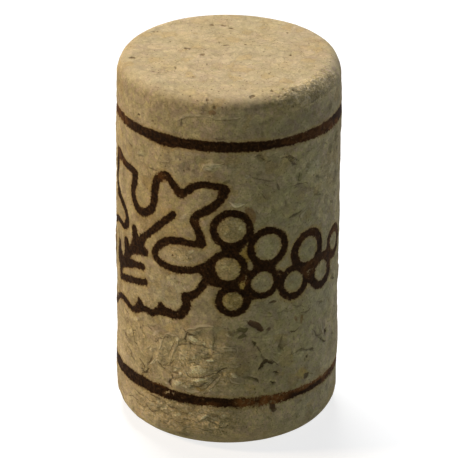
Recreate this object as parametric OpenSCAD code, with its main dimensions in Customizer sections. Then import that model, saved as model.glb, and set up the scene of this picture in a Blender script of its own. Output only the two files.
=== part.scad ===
// Straight wine stopper, turned from one stick of pressed cork granules.
// It stands on its foot at z = 0, with its axis on Z.

/* [Body] */
// Diameter of the straight wall
cork_d = 22; // [18:0.5:30]
// Height from the foot to the top face
cork_h = 38; // [30:0.5:60]

/* [Edges] */
// Radius of the rounding between the wall and the top face
top_edge_r = 1.7; // [0.5:0.1:4]
// Radius of the fuller rounding between the wall and the foot
foot_edge_r = 2.7; // [0.5:0.1:4]

/* [Hidden] */
$fn = 96;
cork_r = cork_d / 2;
wall_h = cork_h - top_edge_r - foot_edge_r;
cork_colour = [0.74, 0.65, 0.49];

// One end, from its flat face at y = 0 up to where the straight wall starts.
// The circle touches both the face and the wall, so the rounding has no corner.
module rounded_end(edge_r) {
    square([cork_r - edge_r, edge_r]);
    translate([cork_r - edge_r, edge_r]) circle(r = edge_r);
}

// Half of the stopper's section, on the right of its axis
module half_section() {
    rounded_end(foot_edge_r);
    translate([0, foot_edge_r]) square([cork_r, wall_h]);
    translate([0, cork_h]) mirror([0, 1]) rounded_end(top_edge_r);
}

// The whole stopper, one solid with no bore
module cork() {
    color(cork_colour) rotate_extrude() half_section();
}

cork();
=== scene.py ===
"""The looks of the wine cork: its worn granule surface, its print, the studio and the camera.

Places on the wall are (s, z) in mm: s runs round the wall from the front line, which faces -Y,
with + to the right, and z runs up from the foot. Places on the top face are (x, y) in mm.
A path is written as s, z, s, z and so on, after the other numbers of its row.
"""

from math import cos, pi, radians, sin
from types import SimpleNamespace
import bpy
import numpy as np
from mathutils import Matrix, Vector, noise


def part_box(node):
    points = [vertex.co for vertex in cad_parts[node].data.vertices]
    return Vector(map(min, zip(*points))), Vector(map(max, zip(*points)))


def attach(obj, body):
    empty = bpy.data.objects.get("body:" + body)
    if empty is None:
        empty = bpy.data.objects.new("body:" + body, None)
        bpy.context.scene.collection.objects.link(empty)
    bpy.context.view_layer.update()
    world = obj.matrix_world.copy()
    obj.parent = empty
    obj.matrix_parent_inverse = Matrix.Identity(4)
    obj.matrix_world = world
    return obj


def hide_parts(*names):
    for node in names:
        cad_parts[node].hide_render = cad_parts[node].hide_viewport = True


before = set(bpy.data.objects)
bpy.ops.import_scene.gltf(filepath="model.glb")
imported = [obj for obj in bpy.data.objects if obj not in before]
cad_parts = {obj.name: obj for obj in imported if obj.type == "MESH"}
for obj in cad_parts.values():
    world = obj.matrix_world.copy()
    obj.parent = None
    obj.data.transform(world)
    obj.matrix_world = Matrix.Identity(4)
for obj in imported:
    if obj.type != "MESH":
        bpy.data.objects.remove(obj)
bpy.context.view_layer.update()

# ---- Sizes, in mm ----
MM = 0.001
LOW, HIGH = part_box("cork")
RADIUS = round((HIGH.x - LOW.x) / 2 / MM, 1)
HEIGHT = round(HIGH.z / MM, 1)
TOP_EDGE_R = 1.7  # as in part.scad
FOOT_EDGE_R = 2.7

# ---- The mesh's fineness ----
DISC_RINGS = 42  # squares from an end face's centre to its edge
COLUMNS = 8 * DISC_RINGS
ROWS = 254
FRONT_CROWDING = 0.3  # how much closer columns stand at the front than on average
FAR = 1e3  # a distance beyond everything, in mm


# ---- The bare surface ----
def column_turns(share):
    """Angles from the back seam (-pi) through the front (0) to the seam again, for shares 0 to 1."""
    turn = np.linspace(-pi, pi, 4001)
    return np.interp(share * 2 * pi - pi, turn + FRONT_CROWDING * np.sin(turn), turn)


def wall_profile():
    """Radius, z, and the normal's outward and upward parts, for each row from foot to top face."""
    foot_arc, top_arc = FOOT_EDGE_R * pi / 2, TOP_EDGE_R * pi / 2
    straight = HEIGHT - FOOT_EDGE_R - TOP_EDGE_R
    along = np.linspace(0, foot_arc + straight + top_arc, ROWS + 1)
    foot = np.clip(along / FOOT_EDGE_R, 0, pi / 2)
    top = np.clip((along - foot_arc - straight) / TOP_EDGE_R, 0, pi / 2)
    radius = RADIUS - FOOT_EDGE_R * (1 - np.sin(foot)) - TOP_EDGE_R * (1 - np.cos(top))
    z = FOOT_EDGE_R * (1 - np.cos(foot)) + np.clip(along - foot_arc, 0, straight) + TOP_EDGE_R * np.sin(top)
    return radius, z, np.sin(foot) * np.cos(top), np.sin(top) - np.cos(foot)


def ring_share(i, j):
    """How far round its ring of the square grid the point i, j lies, from 0 to 1."""
    ring = max(abs(i), abs(j))
    if j == -ring or i == ring:
        return (i + j + 2 * ring) / max(8 * ring, 1)
    return (6 * ring - i - j) / (8 * ring)


def disc_grid(rim_r):
    """An end face's points inside its rim, and its squares as point numbers.

    Ring m of the grid has 8 m points, so the outermost has one for each column of the wall.
    """
    points, number = [], {}
    for i in range(-DISC_RINGS, DISC_RINGS + 1):
        for j in range(-DISC_RINGS, DISC_RINGS + 1):
            ring, share = max(abs(i), abs(j)), ring_share(i, j)
            if ring == DISC_RINGS:
                number[i, j] = ("rim", round(share * COLUMNS) % COLUMNS)
                continue
            turn, out = column_turns(share), rim_r * ring / DISC_RINGS
            number[i, j] = ("in", len(points))
            points.append((out * sin(turn), -out * cos(turn)))
    squares = []
    for i in range(-DISC_RINGS, DISC_RINGS):
        for j in range(-DISC_RINGS, DISC_RINGS):
            squares.append([number[i, j], number[i + 1, j], number[i + 1, j + 1], number[i, j + 1]])
    return np.array(points), squares


def bare_surface():
    """The cork's surface before relief: places and normals point by point, and faces."""
    turns = column_turns(np.arange(COLUMNS) / COLUMNS)
    radius, z, out, up = (part[:, None] for part in wall_profile())
    across, ahead = np.sin(turns)[None], -np.cos(turns)[None]
    places = np.stack([radius * across, radius * ahead, z + 0 * across], -1).reshape(-1, 3)
    normals = np.stack([out * across, out * ahead, up + 0 * across], -1).reshape(-1, 3)
    faces = []
    for here in range(0, ROWS * COLUMNS, COLUMNS):
        for k in range(COLUMNS):
            after = here + (k + 1) % COLUMNS
            faces.append([here + k, after, after + COLUMNS, here + k + COLUMNS])
    for rim_row, end_z, face_up in ((0, 0, -1), (ROWS, HEIGHT, 1)):
        points, squares = disc_grid(radius[rim_row, 0])
        at = {"rim": rim_row * COLUMNS, "in": len(places)}
        places = np.vstack([places, np.insert(points, 2, end_z, axis=1)])
        normals = np.vstack([normals, np.tile([0, 0, face_up], (len(points), 1))])
        for square in squares:
            corners = [at[kind] + k for kind, k in square]
            faces.append(corners[::face_up])
    return places, normals, faces


PLACES, NORMALS, FACES = bare_surface()
WALL_S = np.arctan2(PLACES[:, 0], -PLACES[:, 1]) * RADIUS
WALL_Z = PLACES[:, 2]
FROM_AXIS = np.hypot(PLACES[:, 0], PLACES[:, 1])
UP = NORMALS[:, 2]
UPPER_HALF = WALL_Z > HEIGHT / 2
ON_FOOT = UP < -0.7


# ---- Noise and small shapes ----
def ramp(value, low, high):
    """0 below low and 1 above high, with soft ends. low may be the larger."""
    t = np.clip((value - low) / (high - low), 0, 1)
    return t * t * (3 - 2 * t)


def waves(grain, seed, places=PLACES, octaves=1):
    """Smooth noise from about -1 to 1, with bumps about as wide as grain, in mm."""
    moved = (places / grain + seed * 7.31).tolist()
    if octaves == 1:
        return np.array([noise.noise(p) for p in moved])
    return np.array([noise.fractal(p, 1.0, 2.0, octaves) for p in moved])


def granules(size, seed, warp):
    """Pressed granules about as wide as size: how far each point is from its granule's border,
    a random number from 0 to 1 for the granule, and how high the granule's own tilt lifts it."""
    border, pick, tilt = [], [], []
    bent = PLACES + warp * np.stack([waves(size * 0.5, seed + k, octaves=2) for k in (1, 2, 3)], -1)
    for p in (bent / size + seed).tolist():
        near, centres = noise.voronoi(p)
        gap = (centres[1] - centres[0]).length
        border.append((near[1] ** 2 - near[0] ** 2) / (2 * max(gap, 1e-6)) * size)
        draw = noise.cell_vector(centres[0] * 31.7)
        pick.append(draw[0])
        lean = Vector((draw[1] - 0.5, draw[2] - 0.5, draw[0] - 0.5))
        tilt.append((Vector(p) - centres[0]).dot(lean) * size)
    return np.array(border), np.array(pick), np.array(tilt)


# The points' places nudged about, so that marks given as plain paths and ovals come out ragged
RAGGED_S = WALL_S + 0.17 * waves(0.8, 51) + 0.05 * waves(0.35, 52)
RAGGED_Z = WALL_Z + 0.17 * waves(0.8, 53) + 0.05 * waves(0.35, 54)
RAGGED_X = PLACES[:, 0] + 0.10 * waves(0.5, 55)
RAGGED_Y = PLACES[:, 1] + 0.10 * waves(0.5, 56)


def nearest(path, s=RAGGED_S, z=RAGGED_Z):
    """Distance from each point to a path of straight pieces, the same distance with a sign, which
    is above 0 on the path's left-hand side, and how far along the path it is met, from 0 to 1."""
    found, side, met = np.full(len(s), FAR), np.ones(len(s)), np.zeros(len(s))
    ends = np.reshape(path, (-1, 2))
    for k, ((s0, z0), (s1, z1)) in enumerate(zip(ends, ends[1:])):
        ds, dz = s1 - s0, z1 - z0
        t = np.clip(((s - s0) * ds + (z - z0) * dz) / max(ds * ds + dz * dz, 1e-9), 0, 1)
        away = np.hypot(s - s0 - t * ds, z - z0 - t * dz)
        over = ds * (z - z0) - dz * (s - s0)
        closer = away < found
        side = np.where(closer, np.where(over < 0, -1, 1), side)
        met = np.where(closer, (k + t) / (len(ends) - 1), met)
        found = np.minimum(found, away)
    return found, found * side, met


def thin_lines(lines):
    """Lines too thin for the mesh, kept as distances so that the material can draw them crisply.

    For each point: its distance from the nearest line in half widths, with a sign for the side,
    its distance from that line's edge in mm, and the line's strength. A line is its width, its
    strength and its path, and it is widest in its middle.
    """
    across, gap, strength = np.full(len(PLACES), 9.0), np.ones(len(PLACES)), np.zeros(len(PLACES))
    for width, amount, *path in lines:
        away, signed, met = nearest(path)
        half = width / 2 * (0.55 + 0.85 * np.sin(pi * met))
        closer = away - half < gap
        across = np.where(closer, signed / half, across)
        gap = np.where(closer, away - half, gap)
        strength = np.where(closer, amount, strength)
    return np.stack([np.clip(across, -9, 9), gap, strength], -1)


def curve(path, pieces=5):
    """A smooth path through the places of a path."""
    p = np.reshape(path, (-1, 2))
    p = np.vstack([2 * p[0] - p[1], p, 2 * p[-1] - p[-2]])
    bent = []
    for a, b, c, d in zip(p, p[1:], p[2:], p[3:]):
        for t in np.arange(pieces) / pieces:
            bend = (2 * a - 5 * b + 4 * c - d) * t * t + (3 * b - a - 3 * c + d) * t ** 3
            bent.append(b + 0.5 * ((c - a) * t + bend))
    return [*bent, p[-2]]


def merged(a, b):
    """The union of two shapes given as distances, with a fillet where they meet."""
    mix = np.clip(0.5 + 0.5 * (b - a) / INK_BLEND, 0, 1)
    return b + (a - b) * mix - INK_BLEND * mix * (1 - mix)


def oval(s, z, half_length, half_width, tilt_deg=0):
    """How far out each point lies in an oval on the wall: 0 at its middle and 1 on its edge."""
    a = radians(tilt_deg)
    along = (RAGGED_S - s) * cos(a) + (RAGGED_Z - z) * sin(a)
    over = (RAGGED_Z - z) * cos(a) - (RAGGED_S - s) * sin(a)
    return np.hypot(along / half_length, over / half_width)


def patch(*place):
    """1 inside an oval patch on the wall, falling softly to 0 at its edge."""
    return ramp(oval(*place), 1, 0.55)


def strongest(patches, least=0):
    """The highest amount of the patches at each point, and no less than least."""
    for *place, amount in patches:
        least = np.maximum(least, amount * patch(*place))
    return least


# ---- The print ----
INK_BLEND = 0.3  # size of the fillets where strokes meet

# Grapes: centre s, z, radius of the ring's middle line and the ring's width
GRAPES = [
    (0.4, 24.35, 1.77, 0.7), (4, 22.2, 1.77, 0.72), (0, 20.15, 1.63, 0.7), (3.45, 18.5, 1.47, 0.62),
    (0.55, 16.7, 1.38, 0.7), (6.95, 17.78, 1.52, 0.7), (8.75, 20.75, 1.78, 0.84), (10.85, 17.7, 1.5, 0.8),
    (13.55, 19.75, 1.36, 0.84),
]

# The vine leaf's outline, a curve from each corner to the next: width and path
LEAF = [
    # over the right lobe, from its tip to the notch
    (0.74, -0.35, 28.6, -1.1, 28.9, -2.2, 29.03, -3.2, 28.75, -4, 28.15, -4.75, 27.65),
    # over the small upper lobe
    (0.84, -4.75, 27.65, -5.3, 28.2, -5.8, 28.95, -6.35, 29.3, -7, 29, -7.5, 28.3, -7.7, 27.2, -7.8, 26,
     -8.1, 25.2, -8.8, 24.6, -9.6, 24.35, -10.3, 24.7, -10.8, 25.5, -10.9, 26.4, -10.6, 27.3, -10.6, 28.1),
    # over the left lobe and in to the deep notch
    (0.84, -10.6, 28.1, -11.4, 28.35, -12.3, 28.35, -13.2, 28.6, -14.1, 28.9, -14.8, 28.3, -15.15, 27,
     -15.4, 25.6, -14.9, 24.7, -13.9, 24.1, -12.7, 23.5, -12.2, 22.7, -12.3, 21.9),
    # round the lobe at the side, down the leaf's left-hand side and along its scalloped lower edge
    (0.62, -12.3, 21.9, -12.9, 21.4, -13.8, 21.55, -14.8, 21.5, -15.7, 21.05, -16.4, 20.6, -16.5, 19.6,
     -16.35, 18.2, -16.5, 16.5, -16.3, 14.8, -16.45, 13.2, -16.6, 12.2, -16.1, 11.85, -15.4, 12.5, -14.1,
     13.3, -12.6, 13.5, -11.35, 13.2, -10.4, 13.35, -9.6, 13.9),
    (0.74, -9.6, 13.9, -8.9, 14.05, -8.1, 13.95, -7.45, 14.3, -6.8, 14.6),
    (0.92, -6.8, 14.6, -6.15, 14.6, -5.5, 14.5, -4.95, 14.6, -4.4, 15.1, -4.05, 15.8, -4.15, 16.7),
    # the scallops' points
    (0.4, -10.4, 13.6, -10.4, 13.9), (0.8, -9.6, 14.05, -9.78, 14.35), (0.42, -9.72, 14.3, -9.92, 14.75),
    (0.7, -6.8, 14.7, -6.92, 14.95), (0.4, -6.88, 14.9, -7, 15.15),
    # from the lower edge up to the grapes
    (0.74, -4.15, 16.7, -3.5, 17, -2.8, 17.6, -2.3, 18.4, -1.9, 19.2),
    # under the right lobe to the corner by the narrow one
    (0.84, -0.35, 28.6, -0.55, 27.9, -1.1, 27.05, -2, 26.3, -3.05, 25.65, -3.3, 25.1),
    (0.82, -3.3, 25.1, -3.05, 24.3, -2.7, 23.5, -2.6, 22.65),
    # the narrow lobe that points left
    (0.78, -2.6, 22.65, -3.6, 22.55, -4.8, 22.6, -5.9, 22.4, -6.95, 21.75, -7.6, 20.95, -7.6, 20.25, -6.95,
     19.75, -5.8, 19.5, -4.6, 19.55, -3.4, 19.75, -2.2, 20.2),
]

# The leaf's veins, straight strokes: width and path
VEINS = [
    (0.76, -5.5, 25.3, -9.4, 21.55), (1.25, -9.7, 21.2, -10.6, 20.4), (0.95, -10.9, 20.1, -12.1, 18.7),
    (0.86, -12.1, 18.7, -13.7, 16.9), (0.66, -13.9, 17, -13.85, 15.6), (0.98, -10.75, 22, -10.6, 21),
    (0.92, -12.4, 20.1, -12.35, 18.9), (1.2, -14.15, 19, -13.9, 17), (0.75, -14.9, 28.85, -14.2, 28.35),
    (0.84, -10.4, 20.3, -9, 20.22), (0.7, -11.2, 19.5, -9.5, 20.1), (0.66, -13, 17.3, -11.3, 17.9),
    (0.76, -12.3, 17.95, -9.4, 18.47), (0.68, -13.8, 15.62, -8.95, 16.95),
]

# Places where the ink has run together: width and path
RUNS = [
    (1.1, -2.4, 19.95, -1.6, 19), (0.8, -1.7, 20.6, -1.3, 18.9), (0.85, -1.3, 18.75, 0.6, 18.2),
    (0.8, -0.2, 22.35, 0.9, 22.35), (0.6, 2.1, 23.5, 2.4, 23.2), (0.7, 2.9, 20.35, 4.6, 20.15),
    (0.5, 2, 19.6, 2.3, 19.5), (0.6, 2.1, 17.6, 2.3, 17.1), (0.6, 5.05, 18.6, 5.3, 17.8),
    (0.8, 7.9, 18.9, 9.9, 18.9), (0.7, 8.65, 17.9, 9.1, 17.3), (0.8, 11.9, 19.1, 12.4, 18.5),
    (0.5, 5.3, 19.3, 5.6, 18.9), (0.5, 10.3, 19.4, 11.6, 19.2), (0.6, 12.2, 17.7, 12.3, 17),
]

# Spots that took no ink: width and path
BARE = [
    (0.3, -10.15, 22, -9.95, 21.65), (0.2, -6.35, 5.65, -5.95, 5.88), (0.18, -5.5, 5.85, -5.42, 5.8),
    (0.46, 1.42, 18.15, 1.5, 18.25), (0.1, 1, 18.72, 1.02, 18.7), (0.22, 8.84, 18.1, 8.86, 18.05),
    (0.05, 8.5, 33, 8.7, 32.95),
]

# The bands' edges: s, upper edge z and lower edge z
UPPER_BAND = [
    (-35, 33.5, 32.5), (-15, 33.45, 32.5), (-8.5, 33.55, 32.5), (-7.5, 33.6, 32.35), (-5.4, 33.6, 32.35),
    (-5.1, 33.6, 32.55), (0, 33.6, 32.55), (5, 33.5, 32.6), (9, 33.55, 32.5), (12, 33.5, 32.25),
    (14, 33.6, 32.25), (18, 33.5, 32.5), (35, 33.5, 32.5),
]
LOWER_BAND = [
    (-35, 6.1, 5.1), (-15, 6.3, 5.15), (-11, 6.4, 5.1), (-7, 6.4, 5.15), (-5.6, 6.2, 5.1), (0, 6, 5.05),
    (5, 5.95, 4.95), (7, 5.9, 5), (14, 5.85, 5.05), (35, 6.1, 5.1),
]

# Where the ink is worn thin and brown: s, z, half length, half height and how much
FADED = [
    (3.6, 5.5, 3.6, 1.2, 1), (13, 32.5, 1.8, 0.55, 0.6), (12.6, 5.3, 1.8, 0.7, 0.35),
    (9.2, 18.6, 1.6, 1.3, 0.3), (8.8, 21.9, 1.8, 1.1, 0.15), (12.6, 18.6, 2.4, 1.6, 0.2),
    (-13.8, 28.6, 1.8, 1, 0.3), (-5, 27.7, 0.8, 0.6, 0.12), (-3.1, 24.9, 0.7, 0.5, 0.12),
    (1.6, 18.9, 0.5, 0.8, 0.4), (-6.8, 29, 1.1, 0.6, 0.45), (-14.2, 33, 3, 1, 0.45),
    (7.2, 33.1, 2.4, 0.6, 0.35), (9.6, 5.75, 4.5, 0.35, 0.8), (15.5, 5.6, 3, 0.6, 0.6),
    (10, 32.9, 3.5, 0.9, 0.3), (13.6, 20.2, 1.6, 1.4, 0.4), (-6.8, 6.3, 1.6, 0.25, 0.4),
    (-1.5, 5.3, 1.3, 0.35, 0.35),
]


def ornament(s, z):
    """Distances from the edge of the leaf and the grapes."""
    shape = np.full(len(s), FAR)
    for grape_s, grape_z, radius, width in GRAPES:
        ring = abs(np.hypot(s - grape_s, z - grape_z) - radius) - width / 2
        shape = merged(shape, ring)
    for width, *path in [(width, *curve(path)) for width, *path in LEAF] + VEINS + RUNS:
        shape = merged(shape, nearest(path, s, z)[0] - width / 2)
    return shape


def ink_distance():
    """Each point's distance from the print's edge, in mm, with less than 0 inside the ink."""
    found = np.full(len(PLACES), FAR)
    # The ornament is worked out only for the stretch of wall that it lies on
    near = (abs(WALL_S + 2.5) < 20) & (WALL_Z > 10) & (WALL_Z < 31) & (FROM_AXIS > RADIUS - 0.01)
    found[near] = ornament(WALL_S[near], WALL_Z[near])
    for band in (UPPER_BAND, LOWER_BAND):
        at, top, bottom = np.transpose(band)
        over = np.maximum(WALL_Z - np.interp(WALL_S, at, top), np.interp(WALL_S, at, bottom) - WALL_Z)
        found = np.minimum(found, over)
    found += 0.07 * waves(1.6, 41, octaves=4) + 0.045 * waves(0.45, 42)
    for width, *path in BARE:
        found = np.maximum(found, width / 2 - nearest(path, WALL_S, WALL_Z)[0])
    return np.clip(found, -2, 2)


# ---- Relief ----
# Cracks and creases, dark partly by their own colour and partly by painted shade: width, strength and path
CRACKS = [
    (0.3, 1, 3.3, 9.05, 3.55, 9.6, 3.85, 9.95, 4.15, 9.75, 4.5, 9.45), (0.16, 0.7, 2.6, 12.1, 2.75, 11.75),
    (0.16, 0.6, 2.95, 11.55, 3.1, 11.2, 3.3, 10.85), (0.14, 0.5, 3.5, 10.55, 3.75, 10.1),
    (0.08, 0.6, 4.5, 9.9, 5, 9.4, 5.3, 9), (0.06, 0.4, -1.3, 13.8, -1.26, 12.6, -1.3, 11),
    (0.13, 0.8, -4.2, 13.15, -4.02, 12.75, -4.16, 12.3, -4.05, 11.9),
    (0.1, 0.8, -3.9, 12.9, -3.5, 12.75, -3.1, 12.75), (0.12, 0.6, -3.85, 11.9, -3.4, 11.7),
    (0.13, 0.8, 6.5, 12.4, 7, 12.38, 7.6, 12.5), (0.14, 0.35, 5.5, 12, 5.3, 11.3, 5.8, 10.6),
    (0.14, 0.8, -9.3, 6.8, -8.8, 7.2, -8.4, 7.7), (0.2, 0.9, -5.65, 7.85, -5.4, 7.5),
    (0.2, 0.8, 10.8, 10.1, 11.3, 9.9, 11.9, 9.45), (0.2, 0.8, 9.3, 9.5, 9.9, 9.4),
    (0.12, 0.55, 7, 10.1, 8.2, 10.1, 9.2, 9.6, 9.9, 9.2), (0.14, 0.5, 6.2, 24.8, 6.8, 25, 7.7, 25.2),
    (0.13, 0.6, 5.9, 31.3, 6.4, 30.9, 7, 30.3), (0.12, 0.6, -2.1, 10.75, -1.5, 10.8),
    (0.17, 0.9, 4.75, 8.45, 5.2, 8.35), (0.18, 0.9, 4.5, 7.4, 4.95, 7.25),
    (0.25, 0.7, 11.9, 10.6, 12.1, 10.5), (0.3, 0.7, 13.8, 9.5, 14, 9.3), (0.22, 0.8, 8.7, 9.1, 8.8, 8.9),
    (0.18, 0.5, 4.9, 28.6, 5.1, 28.2), (0.1, 0.6, -6.7, 8.6, -5.9, 8.9, -5.5, 9.5),
    (0.1, 0.5, -2.2, 6.4, -1.6, 6.7), (0.1, 0.6, -0.3, 3.2, -0.9, 3.1, -1.7, 3.5),
    (0.12, 0.6, -3.6, 3.4, -2.9, 3.2), (0.1, 0.5, -6.6, 11.7, -5.7, 12),
    (0.14, 0.6, 2.3, 8.2, 2.9, 7.95, 3.2, 7.6), (0.12, 0.4, -1.3, 33.9, -0.4, 34.1),
    (0.16, 0.5, 7.4, 29.3, 7.3, 28.6), (0.12, 0.4, 3.2, 31.9, 3.6, 31.5),
    (0.14, 0.6, -8.3, 29.42, -7.5, 29.45), (0.2, 0.4, 12.6, 24.5, 13.2, 24.1),
    (0.12, 0.35, 9.6, 26.3, 10.5, 25.9), (0.1, 0.3, 5.2, 14.9, 6.3, 15.2),
    (0.12, 0.4, 6.8, 15.3, 8.2, 14.7), (0.14, 0.4, 10.2, 14.5, 11.4, 14), (0.2, 0.6, 13.1, 15.9, 14, 15.6),
    (0.14, 0.4, 10.9, 31.4, 11.7, 31), (0.12, 0.6, -10.95, 10.9, -10.9, 10.4, -10.8, 9.9),
    (0.12, 0.6, -8.7, 7.9, -8.3, 8.6, -8, 9.2), (0.12, 0.7, -9.7, 7.2, -9.2, 7.1),
    (0.09, 0.5, -12.4, 8.6, -11.4, 8.3, -10.8, 7.3), (0.1, 0.6, -4.85, 4, -4, 3.95, -3.3, 3.75),
    (0.14, 0.6, -8.35, 4.85, -7.5, 4.85, -6.7, 4.7), (0.1, 0.5, -10.8, 4.4, -9.25, 4.2),
    (0.14, 0.8, -5.65, 7.4, -5.9, 6.9, -5.6, 6.5), (0.1, 0.4, -13.2, 11.4, -12.4, 11),
    (0.08, 0.5, -9.6, 11.8, -8.9, 11.2, -8.8, 10.6), (0.09, 0.5, -7.6, 10.9, -7, 11.5, -6.2, 11.9),
    (0.08, 0.5, -5.2, 11.7, -5.6, 10.8, -6, 10), (0.1, 0.4, -12, 31, -11.2, 30.7),
    (0.1, 0.4, -9.9, 30.2, -9.2, 30.5),
    (0.1, 0.55, -4.15, 11.65, -3.7, 11.65, -2.95, 11.7, -2.3, 11.75, -1.9, 11.5, -1.45, 11.4),
    (0.09, 0.5, -4.2, 11.65, -4.65, 11.35, -5, 11.15), (0.12, 0.6, -2.55, 10.45, -2, 10.35, -1.4, 10.6),
    (0.05, 0.35, 0.9, 12.05, 0.95, 10.95, 0.05, 11.05, -1.3, 10.9),
    (0.12, 0.65, -4.1, 8.55, -3.85, 8.15, -3.2, 8.05, -2.45, 8.2, -1.75, 8.45, -1, 8.8, 0.15, 9.5),
    (0.13, 0.65, -3.55, 7.3, -2.95, 7.15, -2.3, 7.4, -1.85, 7.75),
    (0.1, 0.6, -5.8, 8.15, -5.15, 8.2, -4.7, 8.2),
    (0.09, 0.55, -2.15, 6.8, -1.85, 7.3, -1.4, 7.7, -0.9, 8.2), (0.09, 0.5, -6.2, 9.15, -5.9, 9, -5.4, 9),
    (0.08, 0.4, -4.65, 10, -4.2, 9.6, -4.1, 9.2), (0.09, 0.5, -9.2, 4.3, -8.2, 4.1, -7.6, 4.25),
    (0.09, 0.5, -7.9, 3.3, -6.9, 3.45, -6.2, 3.3), (0.1, 0.55, -6.3, 4.45, -5.6, 4.25, -5, 4.35),
    (0.1, 0.5, -5.9, 2.9, -4.9, 2.75, -4.3, 2.95), (0.1, 0.5, -4.4, 3.35, -3.6, 3.2),
    (0.09, 0.45, -3, 2.5, -2, 2.4, -1.2, 2.6), (0.09, 0.5, -2.7, 4.35, -1.9, 4.2),
    (0.09, 0.45, -10.5, 3.3, -9.5, 3.1, -8.8, 3.2), (0.09, 0.4, -7.3, 2.3, -6.2, 2.2),
    (0.09, 0.4, -1, 3, -0.2, 2.8, 0.6, 3), (0.11, 0.55, 3.15, 32.2, 2.65, 31.95),
    (0.12, 0.5, 4.2, 31.4, 3.8, 31.25), (0.12, 0.6, 5.3, 31.4, 6.2, 31.5, 7.3, 30.7),
    (0.1, 0.6, 6.5, 30.4, 6.9, 30.9), (0.1, 0.45, 2.9, 29.5, 3.7, 29.4, 4.6, 29.2),
    (0.14, 0.4, 2.4, 29.75, 2.85, 29.6), (0.11, 0.5, 6.6, 28.15, 7.5, 28.1, 8.5, 27.9),
    (0.1, 0.45, 3.1, 28.2, 3.7, 27.5), (0.12, 0.4, 5.75, 26.9, 5.9, 26.25),
    (0.12, 0.4, 7.5, 24.7, 7.75, 24.1), (0.08, 0.35, 5.4, 14.95, 7, 14.7), (0.16, 0.5, 8, 14, 8.9, 14),
    (0.14, 0.5, 5.8, 12.3, 5.3, 11.25, 5.7, 10.55), (0.12, 0.5, 6.75, 9.95, 7.5, 10.05, 8.4, 9.9),
    (0.12, 0.5, 9.4, 11.8, 10.1, 10.95, 11.3, 9.7), (0.08, 0.35, 7, 12, 7, 11.4),
    (0.1, 0.4, 10.5, 11.8, 10.8, 10.8, 11.6, 9.7), (0.1, 0.35, 3.7, 14.8, 4.5, 14.6),
    (0.13, 0.6, -11.6, 11.1, -11, 10.8, -10.6, 11), (0.1, 0.6, -10.9, 9.7, -10.3, 9.6, -9.8, 9.2),
    (0.12, 0.7, -10, 8.1, -9.5, 8.1, -9.1, 7.8, -9.25, 7), (0.12, 0.6, -11.6, 8, -10.9, 7.7),
    (0.12, 0.5, -8.6, 12.3, -8, 12.1), (0.14, 0.6, -12.8, 9.9, -12.1, 9.7),
    (0.1, 0.5, -4.65, 35.7, -4.7, 34.9), (0.1, 0.6, -11.9, 3.2, -11, 3.5, -10.2, 3.6),
    (0.1, 0.6, -9, 3.5, -8.2, 3, -7.4, 3.3), (0.12, 0.5, -13, 12.6, -12.3, 12.3),
    (0.1, 0.6, -7.3, 9, -6.9, 8.4, -6.4, 8.3),
]

# Raised edges and crumbs: width, height, how pale they are worn, a paleness that is partly a painted
# highlight, and path. A painted shadow runs along the right-hand side of each.
RIDGES = [
    (0.24, 0.08, 0.9, -3.86, 13.2, -3.1, 13.72, -2.2, 13.94, -1.35, 13.9),
    (0.16, 0.07, 0.7, -0.97, 11.62, -0.1, 11.72, 0.75, 11.68),
    (0.12, 0.05, 0.6, -0.6, 11.25, 0.3, 11.3, 1, 11.2), (0.16, 0.05, 0.7, 0.3, 8.25, 0.6, 7.85, 1.35, 7.7),
    (0.2, 0.06, 0.8, -4, 6.5, -3.3, 6.4, -2.7, 6.55), (0.14, 0.06, 0.6, -1.75, 6.9, -1.1, 7.7, -0.5, 8.5),
    (0.1, 0.05, 0.5, -1.9, 8, -1.3, 8.5, -0.8, 9.05), (0.14, 0.05, 0.7, -6.5, 12.1, -5.8, 12.35, -5, 12.42),
    (0.12, 0.05, 0.7, -7.1, 10.2, -6.8, 11.2, -6.4, 12.1),
    (0.12, 0.06, 0.6, -8.6, 8.1, -7.9, 8.7, -7.4, 9.3, -7.1, 10.1),
    (0.13, 0.05, 0.6, -5.8, 9.4, -5.4, 10.4, -4.9, 11.8),
    (0.16, 0.07, 0.7, -2.5, 3.5, -2, 4, -1.2, 3.85, -0.5, 3.4), (0.2, 0.06, 0.6, -7.5, 3.9, -7, 4.05),
    (0.2, 0.06, 0.5, -5.9, 4.3, -5.5, 4.5),
    (0.26, 0.045, 0.4, -5, 35.5, -4.4, 35.95, -3.4, 36.2, -2.2, 36.3),
    (0.24, 0.03, 0.2, -2, 36.25, -0.6, 36.15, 1.2, 36.25),
    (0.18, 0.06, 0.7, -2.5, 30.8, -2.3, 31.2, -1.4, 31.2, -0.5, 31.4),
    (0.25, 0.05, 0.4, -2.1, 30.7, -1.6, 30.6), (0.25, 0.05, 0.6, 0.1, 27.3, 0.9, 26.9, 1.7, 27.2),
    (0.16, 0.05, 0.4, -8.4, 12.6, -7.4, 12.9), (0.14, 0.05, 0.6, -3.9, 9.6, -3.2, 9.8, -2.5, 9.6),
    (0.12, 0.05, 0.6, -5.6, 9, -5, 8.85, -4.4, 8.95), (0.1, 0.05, 0.5, -8.9, 9.6, -8.1, 10.4),
    (0.12, 0.05, 0.5, -3.3, 10.9, -2.6, 11.1, -2, 10.9), (0.12, 0.05, 0.4, -4.8, 5, -4, 4.8),
    (0.12, 0.05, 0.6, -3, 7.25, -2.3, 7.1, -1.7, 7.3), (0.08, 0.03, 0.3, 4.3, 10.9, 5.2, 10.5, 5.9, 9.8),
    (0.1, 0.05, 0.5, -6.9, 9.6, -6.2, 9.9), (0.12, 0.05, 0.5, -7.6, 6.9, -6.9, 7.3),
    (0.14, 0.05, 0.4, -6.8, 30.6, -5.9, 30.9), (0.14, 0.05, 0.5, 8.5, 25.1, 7.7, 24.7, 7.3, 24),
    (0.14, 0.05, 0.5, 11, 11.9, 11.2, 11, 11.7, 10.3),
]

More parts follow.
